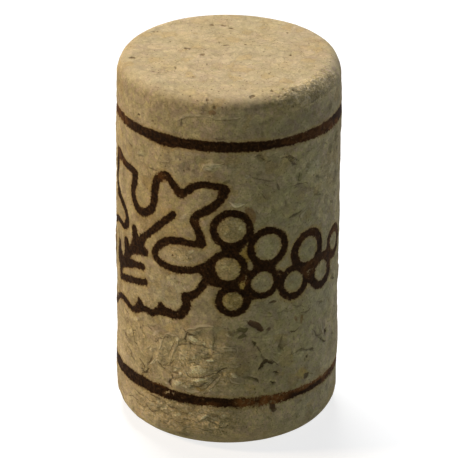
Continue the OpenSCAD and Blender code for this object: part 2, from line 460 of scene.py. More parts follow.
# Where the cork is rough and crumbly: s, z, half length, half height and how rough
CRUMBLY = [
    (-3.6, 10, 7, 4.8, 0.85), (-3, 8.5, 5, 2.6, 1.15), (-11.5, 9, 6.5, 6, 0.8), (-4.5, 3.4, 8.5, 2.9, 1.1),
    (0.45, 16.6, 1.8, 1.8, 1.1), (0.3, 24.2, 2.2, 2.2, 0.8), (0.1, 20.4, 1.9, 1.9, 0.75),
    (-4.7, 21.2, 2, 1.2, 0.95), (-9.5, 14.9, 2.5, 1.3, 0.9), (-8.3, 23.2, 3, 1.6, 0.75),
]

# Granules that stand proud: s, z, half length, half width, tilt, height and how pale they are worn, a
# paleness that is partly a painted highlight
BUMPS = [
    (-3.35, 12.3, 0.5, 0.3, -25, 0.11, 0.9), (-2.9, 9, 0.9, 0.5, 20, 0.1, 0.45),
    (0.75, 8.6, 0.42, 0.25, -30, 0.12, 1), (-1.6, 10.2, 0.42, 0.15, 12, 0.1, 1),
    (0.9, 9.45, 0.32, 0.1, 0, 0.08, 1), (-2.55, 7.95, 0.72, 0.17, 18, 0.11, 1),
    (-3.5, 7.3, 0.25, 0.16, 20, 0.08, 0.8), (-4.85, 7.3, 0.4, 0.32, 30, 0.11, 0.6),
    (-4.2, 7, 0.25, 0.2, 0, 0.06, 0.5), (-5.2, 8.55, 0.25, 0.14, 20, 0.08, 0.7),
    (-4.6, 8.3, 0.18, 0.14, 0, 0.08, 0.7), (-4.1, 8.55, 0.15, 0.12, 0, 0.06, 0.7),
    (0.1, 12.95, 0.36, 0.11, -30, 0.07, 0.8), (-6.2, 11.3, 0.9, 0.9, 60, 0.05, 0.15),
    (-4.95, 11.9, 0.25, 0.2, 50, 0.07, 0.6), (-4.4, 10.4, 0.6, 0.4, 60, 0.05, 0.3),
    (-1.5, 7, 0.25, 0.14, 50, 0.07, 0.7), (-7.9, 8.6, 0.65, 0.15, 35, 0.06, 0.7),
    (-2.2, 11.9, 0.2, 0.12, 0, 0.05, 0.6), (-2.4, 10.9, 0.35, 0.2, 20, 0.05, 0.4),
    (-7.5, 11.9, 0.55, 0.2, 40, 0.05, 0.4), (-1.5, 11.75, 0.15, 0.15, 0, 0.05, 0.8),
    (-3.2, 10.3, 0.3, 0.15, 50, 0.05, 0.5), (-6.9, 10.6, 0.3, 0.12, 30, 0.05, 0.5),
    (-2.2, 3.85, 0.3, 0.13, 40, 0.08, 0.9), (-1.1, 3.75, 0.35, 0.12, -20, 0.08, 0.9),
    (-6.6, 3.9, 0.5, 0.15, 20, 0.06, 0.6), (-5, 3.6, 0.45, 0.15, 15, 0.06, 0.6),
    (-3.6, 4, 0.35, 0.15, 30, 0.06, 0.7), (-0.2, 4.2, 0.3, 0.14, 0, 0.06, 0.6),
    (-8.2, 9.9, 0.3, 0.1, 40, 0.04, 0.6), (-6.2, 6.7, 0.3, 0.1, 20, 0.04, 0.5),
    (-7.1, 4.4, 0.3, 0.12, -10, 0.04, 0.5), (0.9, 27.05, 0.7, 0.22, 8, 0.06, 0.7),
    (-2, 30.7, 0.4, 0.18, 10, 0.06, 0.7), (9.3, 29.4, 1.1, 0.7, 0, 0.04, 0.3),
    (0.3, 31.3, 0.4, 0.2, 0, 0.04, 0.3), (1.9, 29.9, 0.25, 0.2, 0, 0.04, 0.5),
    (-1.6, 31.1, 1, 0.28, 5, 0.05, 0.4), (-3.6, 21.7, 0.3, 0.18, 20, 0.05, 0.4),
    (-4.4, 25.3, 0.5, 0.2, 40, 0.05, 0.4), (1.2, 24.6, 0.3, 0.14, 60, 0.04, 0.5),
    (-0.2, 24, 0.3, 0.12, 50, 0.04, 0.5), (0.5, 16.6, 0.35, 0.14, 30, 0.04, 0.6),
    (-0.4, 20.4, 0.3, 0.12, 50, 0.04, 0.4), (-9.6, 30.6, 0.6, 0.25, 20, 0.05, 0.3),
    (-11.5, 10.6, 0.7, 0.2, 50, 0.05, 0.3), (-10.4, 12.4, 0.5, 0.2, 30, 0.05, 0.3),
]

# Edges of flakes, raised on the left-hand side of the path: how far the flake slopes, height and path
SCARPS = [
    (1, 0.14, -1.2, 13.95, -2.2, 13.95, -3.1, 13.6, -3.95, 13.05), (0.7, 0.07, -1.3, 11.2, -1.3, 13.8),
    (1.2, 0.1, -5, 12.4, -6.6, 12.1, -7.6, 10.6), (0.8, 0.08, -5.1, 11.9, -5.8, 9.6),
    (0.7, 0.08, -6.4, 11.6, -7, 10.2), (0.8, 0.09, -0.3, 8.7, -0.9, 8, -1.6, 6.9),
    (0.9, 0.1, -7.2, 9.9, -7.4, 9.2, -8.1, 8.2), (0.8, 0.09, -0.4, 31.4, -2.4, 31.2, -2.6, 30.6),
    (0.8, 0.08, -1.2, 10.7, -3.2, 10.9, -4.4, 10.2), (0.7, 0.08, -1.9, 9.5, -3.4, 9.4, -4.4, 8.9),
    (0.6, 0.08, 1.9, 8.9, 1.5, 8.2, 0.6, 7.9), (0.7, 0.06, 0.9, 10.4, -0.6, 10),
    (0.7, 0.08, -4, 11.9, -4.2, 12.8), (0.6, 0.07, -6.9, 4.2, -5.4, 4.5, -4, 4.3),
]

# Chips out of the wall: s, z, half length, half width, tilt in degrees and depth
CHIPS = [
    (2.85, 13.85, 0.95, 0.42, -38, 0.16), (-5.8, 6.95, 0.35, 0.6, 0, 0.1), (4.6, 4.5, 0.45, 0.5, 0, 0.12),
    (4.5, 16.15, 0.4, 0.22, 5, 0.1), (4.7, 7.25, 0.35, 0.2, 0, 0.08), (5, 8.3, 0.3, 0.18, 0, 0.08),
    (-3.8, 30.5, 0.25, 0.25, 0, 0.06), (1.5, 30.2, 0.25, 0.25, 0, 0.08), (-9.9, 34.3, 0.42, 0.25, 30, 0.14),
    (-4.5, 35, 0.3, 0.3, 0, 0.1), (-5.6, 21, 0.2, 0.15, 0, 0.05), (-5, 18.15, 0.35, 0.28, 0, 0.1),
    (3, 30.1, 0.4, 0.25, 40, 0.06), (9.9, 28.3, 0.4, 0.3, 0, 0.08), (14, 30.9, 0.5, 0.4, 0, 0.1),
    (7.6, 13.7, 0.5, 0.4, 20, 0.06), (11.8, 10.5, 0.5, 0.5, 0, 0.08), (8.7, 6.9, 0.5, 0.45, 0, 0.08),
]

# Broad swellings and hollows of the wall: s, z, half length, half height and height
SWELLINGS = [
    (-17.3, 18.5, 6, 7, 0.12), (-17, 5.5, 6, 3, 0.14), (17.3, 7.5, 5, 3.5, 0.13), (17.3, 13.5, 5, 3, -0.12),
    (17.3, 33, 5, 3, 0.08),
]

# Pits in the top face and its edge: x, y and radius
TOP_PITS = [
    (-2.65, -0.3, 0.23), (-2.5, -0.15, 0.16), (-3.9, 1.05, 0.19), (-4.35, 1.15, 0.14), (-1.75, 6.95, 0.22),
    (-0.75, 6.9, 0.16), (-0.45, 6.75, 0.19), (0.25, 6.15, 0.18), (0.05, 6.2, 0.14), (-9.45, -1.15, 0.24),
    (-9.2, -1.25, 0.18), (-0.15, 1.95, 0.18), (-0.45, 1.9, 0.14), (1.6, 2.2, 0.14), (3.4, 0.5, 0.16),
    (-7.5, 5.2, 0.16), (-7.05, 5.25, 0.15), (-5.8, 2.8, 0.14), (-1, 2.6, 0.14), (2.5, 2.9, 0.12),
    (-2.4, 0.85, 0.14), (6, -0.3, 0.16), (7.8, 2.6, 0.12), (5.7, 5.3, 0.14), (-2.7, -2.7, 0.12),
    (-2.2, -2.6, 0.11), (2.3, -2.5, 0.12), (-5.2, -3.4, 0.16), (1, -5.2, 0.14), (3.8, -4.6, 0.12),
    (-6.7, -4.5, 0.15), (-7.3, -4.4, 0.16), (-0.3, 8.3, 0.15), (6.8, -3.9, 0.14), (2.25, -9.75, 0.2),
    (2.05, -9.95, 0.14), (4.05, -8.7, 0.16), (5.15, -8.2, 0.14), (6.1, -8.15, 0.14), (-1.35, -10.72, 0.17),
    (7.3, -7.2, 0.1), (8.3, -6.1, 0.1), (-2, -10.2, 0.12),
]


def top_pits():
    """1 at the middle of a pit in the top face, 0.5 at its edge and 0 a radius beyond it."""
    field = np.zeros(len(PLACES))
    for x, y, radius in TOP_PITS:
        over_edge = max(np.hypot(x, y) - RADIUS + TOP_EDGE_R, 0)
        z = HEIGHT - TOP_EDGE_R + np.sqrt(TOP_EDGE_R ** 2 - over_edge ** 2)
        away = np.sqrt((RAGGED_X - x) ** 2 + (RAGGED_Y - y) ** 2 + (WALL_Z - z) ** 2)
        field = np.maximum(field, 1 - 0.5 * away / radius)
    return field


def roughness():
    """How rough the cork is at each point, from about 0.1 on the end faces to 1.15 where it crumbles."""
    rough = strongest(CRUMBLY, 0.3 + 0.45 * ramp(waves(9, 5), -0.2, 0.5))
    rough = np.where(WALL_Z < FOOT_EDGE_R, rough * (0.35 + 0.65 * WALL_Z / FOOT_EDGE_R), rough)
    rough = np.where(UPPER_HALF, rough + (0.12 - rough) * ramp(UP, 0.25, 0.85), rough)
    worn_rim = patch(9.5, HEIGHT - 0.9, 7.0, 1.6) * ramp(FROM_AXIS, RADIUS - 1.8, RADIUS - 1.2)
    return np.maximum(rough, 0.95 * worn_rim)


def broad_shape():
    """The broad shape's height. The shoulder is fuller in front, a little to the left, the top face is
    higher behind, and the wall has swellings and hollows and is a little narrower at its sides."""
    ahead = -PLACES[:, 1] / np.maximum(FROM_AXIS, 0.1)
    in_front = np.maximum(np.cos(WALL_S / RADIUS + radians(20)), 0)
    shoulder = np.where(UPPER_HALF, np.clip(UP, 0, 1), 0) ** 2
    height = 0.16 * 4 * shoulder * (1 - shoulder) * in_front
    height += np.where(UPPER_HALF, 0.11 * ramp(UP, 0.3, 0.9) * ramp(ahead, 0.6, -0.4), 0)
    for *place, lift in SWELLINGS:
        height += lift * ramp(oval(*place), 1, 0)
    narrower = 0.03 + 0.09 * ramp(WALL_Z, HEIGHT - 5, HEIGHT - 2)
    return height - narrower * ramp(UP, 0.9, 0.5) * (1 - ahead ** 2)


def grain_relief(rough):
    """The height of granules in three sizes, and the random tones of the two larger sizes."""
    border, tone, tilt = granules(3.4, 11, 0.35)
    small_border, small_tone, small_tilt = granules(1.25, 23, 0.2)
    tiny_border, _, tiny_tilt = granules(0.62, 37, 0.08)
    height = 0.04 * waves(8, 3) + 0.022 * rough * waves(0.9, 4, octaves=3)
    height += rough * (0.06 * tilt * ramp(border, 0, 0.12) + 0.05 * (tone - 0.5))
    calm = rough * (1 - 0.7 * ramp(rough, 0.5, 1.1))
    height += calm * ramp(small_border, 0, 0.1) * (0.12 * small_tilt + 0.02)
    height += calm * ramp(tiny_border, 0, 0.1) * (0.2 * tiny_tilt + 0.01)
    open_seam = ramp(waves(1.3, 6), 0, 0.35) * np.minimum(rough, 0.9)
    height -= 0.05 * ramp(border, 0.20, 0.02) * open_seam
    return height, tone, small_tone


def crumbled(rough):
    """The height of the crumbly zone's millimetre lumps and of the flakes near the foot."""
    lumps = patch(-3.6, 9.5, 7.5, 5.2) * (0.23 * abs(waves(2.6, 61, octaves=2)) - 0.05)
    lumps += 0.12 * ramp(rough, 0.5, 1.1) * abs(waves(1.0, 62))
    flakes = 0.10 * abs(waves(1.5, 63, PLACES * (1, 1, 2.2), octaves=2)) - 0.02
    return lumps + patch(-4.5, 3.6, 8.5, 3.0) * ramp(WALL_Z, 0.6, 2.4) * flakes


def marks():
    """The height of the listed marks."""
    height = -0.12 * ramp(top_pits(), 0.4, 1)
    for fall, lift, *path in SCARPS:
        away, signed, _ = nearest(path)
        height += 0.5 * lift * ramp(away, fall, 0) * ramp(signed, -0.06, 0.06)
    for width, strength, *path in CRACKS:
        height -= 0.5 * width * strength * ramp(nearest(path)[0], width, 0)
    for width, lift, _, *path in RIDGES:
        height += 0.6 * lift * ramp(nearest(path)[0], width, 0)
    for *place, lift, _ in BUMPS:
        height += lift * ramp(oval(*place), 1.8, 0.2)
    for *place, depth in CHIPS:
        height -= depth * patch(*place)
    return height


# ---- Stains, odd-coloured granules, and the proud granules' pale patches, which are partly painted highlights ----
GROUND, PALE_WEAR_AND_HIGHLIGHT = (0.56, 0.43, 0.26), (0.92, 0.8, 0.56)
BRICK, BROWN, OLIVE = (0.155, 0.078, 0.048), (0.095, 0.048, 0.028), (0.15, 0.12, 0.05)
RUST, YELLOW = (0.33, 0.175, 0.075), (0.58, 0.39, 0.13)
PINK, PALE = (0.55, 0.4, 0.26), (0.66, 0.55, 0.38)

# For each colour: s, z, half length, half width, tilt in degrees and strength
STAINS = {
    BRICK: [
        (2.85, 13.85, 0.92, 0.38, -36, 1), (4.2, 13.25, 0.3, 0.19, 10, 0.8),
    ],
    BROWN: [
        (-5.8, 6.95, 0.2, 0.42, 0, 0.5), (4.65, 4.6, 0.45, 0.34, -60, 1), (4.9, 4.25, 0.3, 0.2, 20, 0.8),
        (8.7, 6.9, 0.5, 0.35, 0, 0.7), (4.5, 16.15, 0.42, 0.18, 5, 0.8), (-8, 34.6, 0.2, 0.1, 40, 0.6),
        (-3.8, 30.5, 0.22, 0.2, 0, 0.5), (-5.6, 21, 0.14, 0.12, 0, 0.8), (11.9, 10.6, 0.4, 0.35, 0, 0.6),
        (-10, 34.5, 0.2, 0.12, 30, 0.9), (-1.5, 36.5, 0.17, 0.11, 20, 0.7),
    ],
    OLIVE: [
        (1.3, 13.55, 0.42, 0.3, -20, 0.9), (1.75, 13.4, 0.4, 0.24, 60, 0.9),
        (0.95, 13.3, 0.3, 0.2, 30, 0.5), (1.5, 12.75, 0.55, 0.2, 15, 0.9),
        (2.72, 11.8, 0.12, 0.3, -10, 0.9), (0.5, 13.15, 0.4, 0.3, 0, 0.35),
        (3.9, 12.9, 0.12, 0.35, -30, 0.4), (5.45, 11, 0.3, 0.5, -10, 0.4), (7.5, 29, 0.34, 0.1, 40, 0.5),
        (6.9, 27.85, 0.24, 0.1, 10, 0.5), (8.5, 8.8, 0.12, 0.3, 0, 0.7), (2.3, 8.1, 0.9, 0.22, -22, 0.55),
        (-5, 18.15, 0.3, 0.2, 0, 0.5), (7, 25, 0.9, 0.2, 12, 0.5), (9.9, 28.2, 0.36, 0.13, -30, 0.6),
        (-0.25, 29.4, 0.5, 0.16, 40, 0.7), (13.5, 16, 0.5, 0.2, -20, 0.5), (-7.2, 4.7, 0.3, 0.3, 0, 0.35),
        (3.2, 31.8, 0.3, 0.6, 20, 0.35), (3, 30.2, 0.4, 0.22, 40, 0.4), (7.3, 28.9, 0.3, 0.5, 20, 0.4),
        (12.2, 30.3, 0.4, 0.5, 0, 0.5), (13.8, 30.9, 0.5, 0.5, 0, 0.5), (3.3, 34.3, 0.25, 0.35, 20, 0.4),
        (12.2, 34.8, 0.4, 0.3, 0, 0.5), (9.3, 35.1, 0.3, 0.25, 0, 0.4),
    ],
    RUST: [
        (2.2, 25.9, 0.42, 0.95, 28, 0.8), (7.3, 13.6, 0.2, 0.5, 25, 0.7), (8.05, 13.4, 0.16, 0.5, 0, 0.7),
        (-6.7, 28.65, 0.5, 0.25, 10, 0.5), (-1.65, 36.6, 0.4, 0.22, 10, 0.75),
        (-9.2, 20.8, 0.35, 0.35, 0, 0.3), (-3.4, 5.5, 0.2, 0.2, 0, 0.5), (7.5, 5.4, 0.2, 0.2, 0, 0.5),
    ],
    YELLOW: [
        (0.55, 16.7, 1.2, 1.2, 0, 0.35), (1.8, 21.6, 0.7, 1.3, -30, 0.75), (1.4, 18.2, 0.6, 0.6, 0, 0.85),
        (8.2, 7.3, 0.9, 0.6, -30, 0.6), (-2.6, 6.95, 0.5, 0.3, 10, 0.5),
    ],
    PINK: [
        (10.4, 11.2, 0.9, 1.5, -30, 0.5), (1.9, 10.8, 1.3, 0.9, 20, 0.45), (11.3, 11.3, 1.4, 1, -40, 0.5),
    ],
    PALE: [
        (1.9, 29.9, 0.3, 0.3, 0, 0.7), (-6, 17, 2.4, 1.5, 0, 0.35), (9.3, 29.4, 1.1, 0.75, 0, 0.45),
    ],
}

# Broad soft changes of tone, partly painted light: s, z, half length, half height and what each multiplies
# the colour by.
# Those that brighten the wall near the foot are painted fill light from below. Those that darken the right
# of the wall are painted shade.
TINTS_AND_PAINTED_LIGHT = [
    (8, 18, 9.5, 24, (0.94, 1, 0.99)), (7, 34.6, 7.5, 2.8, (0.8, 0.81, 0.84)),
    (5.5, 25, 6, 9, (0.92, 0.93, 0.93)), (3.2, 3.2, 7.5, 3.2, (1.3, 1.3, 1.3)),
    (-15.5, 6, 6, 9, (1.12, 1.13, 1.22)), (-9.5, 2.6, 5.5, 3.4, (1.24, 1.24, 1.28)),
    (-3.5, 9, 4, 2.6, (1.08, 1.08, 1.08)), (-1.5, 10.8, 3.8, 3, (1.1, 1.1, 1.08)),
    (0.3, 20.5, 3, 7.5, (1.06, 1, 0.84)), (-8, 25, 6, 7, (1.03, 1, 0.92)),
]


def tints_and_painted_light():
    """What the broad soft changes of tone, which are partly painted light, multiply each point's colour by.
    """
    found = np.ones((len(PLACES), 4))
    for *place, ratio in TINTS_AND_PAINTED_LIGHT:
        share = ramp(oval(*place), 1, 0.3)
        found[:, :3] *= 1 + share[:, None] * (np.array(ratio) - 1)
    return found


def stains_and_highlights():
    """Each point's nearest spot, a stained one or a proud granule's pale patch that is partly a painted
    highlight:
    what it multiplies the cork's colour by, and how deep inside it the point lies, from 1 at the middle
    through 0.5 at its edge to 0."""
    found = np.zeros((len(PLACES), 4))
    found[:, :3] = 1
    # Each proud granule gets a pale patch, partly worn and partly a painted highlight
    spots = [(*place, PALE_WEAR_AND_HIGHLIGHT, rubbed_and_highlight) for *place, _, rubbed_and_highlight in BUMPS]
    for colour, rows in STAINS.items():
        spots += [(*place, colour, strength) for *place, strength in rows]
    for *place, colour, strength in spots:
        depth = 1 - 0.5 * oval(*place)
        deeper = depth > found[:, 3]
        found[deeper, :3] = 1 - strength + strength * np.array(colour) / GROUND
        found[:, 3] = np.maximum(found[:, 3], depth)
    return found


# ---- Material ----
# The colours of the granules and crumbs, with painted shade for the creases between lumps and a pale colour
# for lump tops that is partly a painted highlight
TAN, DRAB, BROAD_DRAB = (0.605, 0.445, 0.305), (0.525, 0.43, 0.215), (0.52, 0.44, 0.25)
FAWN, NUT, HONEY = (0.66, 0.53, 0.35), (0.5, 0.35, 0.15), (0.56, 0.41, 0.18)
CRUMB, PAINTED_CREASE_SHADE, RUBBED_AND_HIGHLIGHT = (0.625, 0.49, 0.29), (0.56, 0.43, 0.17), (0.76, 0.64, 0.42)
# Those of the marks. The seam colour is also painted shade in the creases between lumps, the undercut colour
# is a painted shadow beside the ridges, the worn edge colour is partly a painted highlight, and the crack
# and pit colours are partly painted shade.
STREAK, SPECK, SEAM_AND_CREASE_SHADE = (0.19, 0.14, 0.055), (0.12, 0.07, 0.03), (0.17, 0.115, 0.04)
WORN_EDGE_AND_HIGHLIGHT, PAINTED_SHADOW_BESIDE_RIDGES = (0.84, 0.7, 0.46), (0.2, 0.14, 0.06)
CRACK_AND_SHADE, PIT_AND_SHADE = (0.075, 0.048, 0.022), (0.15, 0.09, 0.04)
# Those of the print
HALO, SCORCHED = (0.47, 0.32, 0.12), (0.095, 0.036, 0.011)
THICK_INK, THIN_INK = (0.013, 0.0055, 0.0015), (0.048, 0.021, 0.007)
WORN_INK, BROWN_INK = (0.13, 0.048, 0.012), (0.24, 0.098, 0.028)


class Value:
    """A number that a node puts out. Its sums, differences and products add Math nodes."""

    def __init__(self, tree, socket):
        self.tree = tree
        self.socket = socket

    def __add__(self, other):
        return self.tree.math("ADD", self, other)

    def __sub__(self, other):
        return self.tree.math("SUBTRACT", self, other)

    def __rsub__(self, other):
        return self.tree.math("SUBTRACT", other, self)

    def __mul__(self, other):
        return self.tree.math("MULTIPLY", self, other)

    __radd__ = __add__
    __rmul__ = __mul__


class Tree:
    """Short calls for building the node tree of a material or the world."""

    def __init__(self, owner):
        owner.use_nodes = True
        self.tree = owner.node_tree
        self.tree.nodes.clear()

    def node(self, kind, inputs=(), **settings):
        """A new node's outputs."""
        made = self.tree.nodes.new("ShaderNode" + kind)
        for name, value in settings.items():
            setattr(made, name, value)
        for name, value in dict(inputs).items():
            self.put(made.inputs[name], value)
        return made.outputs

    def put(self, socket, value):
        value = getattr(value, "socket", value)
        if isinstance(value, bpy.types.NodeSocket):
            self.tree.links.new(value, socket)
        else:
            socket.default_value = (*value, 1) if socket.type == "RGBA" else value

    def value(self, kind, inputs=(), output=0, **settings):
        return Value(self, self.node(kind, inputs, **settings)[output])

    def math(self, operation, a, b=0):
        return self.value("Math", {0: a, 1: b}, operation=operation)

    def vector(self, operation, a, b):
        """b is a vector too, except that it is a number for SCALE."""
        second = "Scale" if operation == "SCALE" else 1
        return self.node("VectorMath", {0: a, second: b}, operation=operation)[0]

    def ramp(self, value, low, high, to_low=0, to_high=1, kind="SMOOTHSTEP"):
        inputs = {"Value": value, "From Min": low, "From Max": high, "To Min": to_low, "To Max": to_high}
        return self.value("MapRange", inputs, "Result", interpolation_type=kind)

    def between(self, share, at_0, at_1):
        return self.ramp(share, 0, 1, at_0, at_1)

    def blend(self, share, a, b, mode="MIX"):
        """Colour a where share is 0 and b where it is 1, or a times b there in mode MULTIPLY."""
        return self.node("Mix", {0: share, 6: a, 7: b}, data_type="RGBA", blend_type=mode)[2]

    def noise(self, place, scale, detail=2, rough=0.5):
        inputs = {"Vector": place, "Scale": scale, "Detail": detail, "Roughness": rough}
        return self.value("TexNoise", inputs, "Fac")

    def kept(self, name, output="Fac"):
        """What make_cork keeps for each point under this name."""
        return self.value("Attribute", output=output, attribute_name=name)

    def shards(self, place, scale):
        """Small flat shards, scale of them to the mm: their height, as each has a tilt of its own,
        a random number for each, and how far a place is from its shard's edge, in shard widths."""
        warp = self.node("TexNoise", {"Vector": place, "Scale": scale * 1.6, "Detail": 2})["Color"]
        warp = self.vector("SUBTRACT", warp, (0.5, 0.5, 0.5))
        cell = {"Vector": self.vector("ADD", place, self.vector("SCALE", warp, 0.9 / scale)), "Scale": scale}
        centre = self.node("TexVoronoi", cell)
        away = self.vector("SUBTRACT", cell["Vector"], centre["Position"])
        lean = self.vector("SUBTRACT", centre["Color"], (0.5, 0.5, 0.5))
        height = self.value("VectorMath", {0: away, 1: lean}, "Value", operation="DOT_PRODUCT")
        pick = self.value("SeparateColor", {0: centre["Color"]})
        return height, pick, self.value("TexVoronoi", cell, "Distance", feature="DISTANCE_TO_EDGE")

    def lumps(self, place, scale):
        """Rounded lumps with sharp creases between them, scale of them to the mm: 0 in a crease."""
        return self.math("ABSOLUTE", (self.noise(place, scale, 1) - 0.5) * 2)

    def drawn(self, name, ragged):
        """Thin lines kept by thin_lines: how much of one shows, the distance across it with its
        sign, and the distance from its edge."""
        parts = self.node("SeparateXYZ", {0: self.kept(name, "Vector")})
        across, gap, strength = (Value(self, part) for part in parts)
        share = self.ramp(self.math("ABSOLUTE", across) + ragged, 1.25, 0.75)
        return share * self.ramp(gap, 0.12, 0.06) * strength, across, gap

    def shader(self, kind, colour, **inputs):
        return self.node(kind, {"Color": colour, **inputs})[0]

    def end(self, kind, seen, other):
        """Puts out shader seen to the camera, also by way of mirrors and glass, or else other."""
        rays = self.node("LightPath")
        beyond = self.math("MAXIMUM", rays["Is Glossy Ray"], rays["Is Transmission Ray"])
        share = self.math("MAXIMUM", rays["Is Camera Ray"], beyond)
        self.node(kind, {"Surface": self.node("MixShader", {0: share, 1: other, 2: seen})[0]})


def shared_fields(t):
    """The kept values, places and noises that more than one part of the cork's material uses."""
    f = SimpleNamespace()
    f.rough, f.worn = t.kept("rough"), t.kept("worn_ink")
    f.tone, f.small_tone = t.kept("granule"), t.kept("small_granule")
    f.crumbly = t.ramp(f.rough, 0.5, 1.1)
    f.place = t.vector("SCALE", t.node("TexCoord")["Object"], 1 / MM)
    f.moved = t.vector("ADD", f.place, (31, 17, 5))
    turn = {"Vector": f.place, "Axis": (0.6, 0.3, 0.74), "Angle": (f.tone + f.small_tone) * 9}
    f.grain_place = t.vector("MULTIPLY", t.node("VectorRotate", turn)[0], (1, 0.3, 1))
    f.drift = t.noise(f.place, 0.3, 3, 0.6)
    f.mottle = t.noise(f.place, 1.1, 4, 0.6)
    f.grain = t.noise(f.grain_place, 2.6, 4, 0.65)
    f.fine = t.noise(f.place, 5.5, 3, 0.7)
    f.shard, f.small_shard, f.tiny_shard = (t.shards(f.place, scale) for scale in (0.75, 1.9, 3.6))
    squeezed = t.vector("MULTIPLY", f.moved, (0.85, 0.85, 1.5))
    f.lump, f.small_lump, f.tiny_lump = (t.lumps(squeezed, scale) for scale in (0.9, 2.2, 4.6))
    ragged = t.ramp(f.fine, 0.25, 0.75, -0.08, 0.08) + t.ramp(f.grain, 0.3, 0.7, -0.06, 0.06)
    ragged = ragged * t.ramp(f.worn, 0, 0.4, 1, 1.8)
    f.ink_edge = t.kept("ink") + ragged - 0.035
    f.jitter = t.ramp(f.fine, 0.25, 0.75, -0.5, 0.5) + t.ramp(f.grain, 0.25, 0.75, -0.5, 0.5)
    return f


def cork_colour(t, f):
    """Granules of differing tones, between tan and olive, with broad drifts of both, and painted shade in
    the creases between the crumbly zone's lumps.
    """
    hue = t.noise(f.moved, 2.4, 3, 0.7) + (f.small_shard[1] - 0.5) * 0.3
    hue = (hue - 0.5) * t.ramp(f.rough, 0.12, 0.3, 0.3, 1) + 0.5
    broad_hue = t.noise(f.moved, 0.45, 2, 0.6)
    colour = t.blend(t.ramp(hue, 0.3, 0.7), TAN, DRAB)
    colour = t.blend(t.ramp(broad_hue, 0.35, 0.65, 0, 0.5), colour, BROAD_DRAB)
    colour = t.blend(f.tone * 0.25, colour, FAWN)
    colour = t.blend(t.ramp(f.small_tone, 0.8, 0.97, 0, 0.45), colour, NUT)
    colour = t.blend(t.ramp(f.drift, 0.45, 0.75, 0, 0.28), colour, HONEY)
    colour = t.blend(t.between(f.crumbly, 0, 0.75), colour, CRUMB)
    # Painted shade in the creases between lumps
    return t.blend(t.ramp(f.small_lump, 0.22, 0.03, 0, 0.4) * f.crumbly, colour, PAINTED_CREASE_SHADE)


def shaded(t, f, colour):
    """colour made lighter and darker by the grain, shard by shard, and by the broad changes of tone kept for
    each point, which are partly painted light.
    """
    broad = t.ramp(f.grain, 0.25, 0.75, 0.87, 1.11) * t.ramp(f.mottle, 0.25, 0.75, 0.88, 1.09)
    shade = (broad - 1) * t.between(f.crumbly, 1, 0.4) + 1
    shade = shade * t.ramp(f.fine, 0.25, 0.75, 0.8, 1.14)
    shade = shade * t.between(f.shard[1], 0.88, 1.09) * t.between(f.small_shard[1], 0.9, 1.08)
    shade = shade * (f.tiny_shard[1] * 0.09 + 0.95)
    shade = (shade - 1) * t.ramp(f.rough, 0.12, 0.3, 0.6, 1) + 1
    shade = shade * t.between(f.crumbly, 1, 1.16)
    grey = t.node("CombineColor", {0: shade, 1: shade, 2: shade})[0]
    return t.blend(1, t.blend(1, colour, t.kept("tint_and_painted_light", "Color"), "MULTIPLY"), grey, "MULTIPLY")


def flecked(t, f, colour):
    """colour with dark streaks and specks, and a yellow-brown halo where the ink's edge has bled."""
    streaks = t.ramp(t.noise(f.grain_place, 3.3), 0.62, 0.7, 0, 0.5)
    streaks = streaks * t.between(f.crumbly, 1, 0.4) * t.ramp(f.rough, 0.12, 0.3, 0.2, 1)
    colour = t.blend(streaks, colour, STREAK)
    speck_noise = t.noise(f.place, 4.2, 1) + t.ramp(f.rough, 0.3, 0.12, 0, 0.01)
    specks = t.ramp(speck_noise, 0.69, 0.74) * t.ramp(f.drift, 0.35, 0.6, 0.3, 1)
    colour = t.blend(specks * 0.8, colour, SPECK)
    halo = t.ramp(f.ink_edge, 0.4, 0.05) * t.ramp(f.drift, 0.35, 0.6, 0.25, 0.6)
    return t.blend(halo, colour, HALO)


def seamed_with_painted_light(t, f, colour):
    """colour with lump tops made pale, partly by wear and partly as a painted highlight, dark seams between
    the shards, and painted shade in the creases between the lumps; and the seams together with that crease
    shade.
    """
    open_seam = t.ramp(t.noise(f.place, 0.9), 0.46, 0.62) * f.rough
    seam = t.ramp(f.shard[2], 0.06, 0.02) * open_seam * 0.45
    small_seam = t.ramp(f.small_shard[2], 0.09, 0.03) * open_seam * 0.4
    tiny_seam = t.ramp(f.tiny_shard[2], 0.14, 0.04) * open_seam * f.crumbly * 0.4
    # Painted shade in the creases between the crumbly zone's lumps, drawn with the seams
    crease = t.math("MAXIMUM", t.ramp(f.lump, 0.05, 0), t.ramp(f.small_lump, 0.08, 0) * 0.7)
    for other in (small_seam, tiny_seam, crease * 0.4 * f.crumbly):
        seam = t.math("MAXIMUM", seam, other)
    # Lump tops made pale, partly by wear and partly as a painted highlight
    rubbed_and_highlight = t.ramp(f.small_lump, 0.2, 0.4) * t.between(f.crumbly, 0, 0.4)
    return t.blend(t.math("MINIMUM", seam, 0.6), t.blend(rubbed_and_highlight, colour, RUBBED_AND_HIGHLIGHT), SEAM_AND_CREASE_SHADE), seam


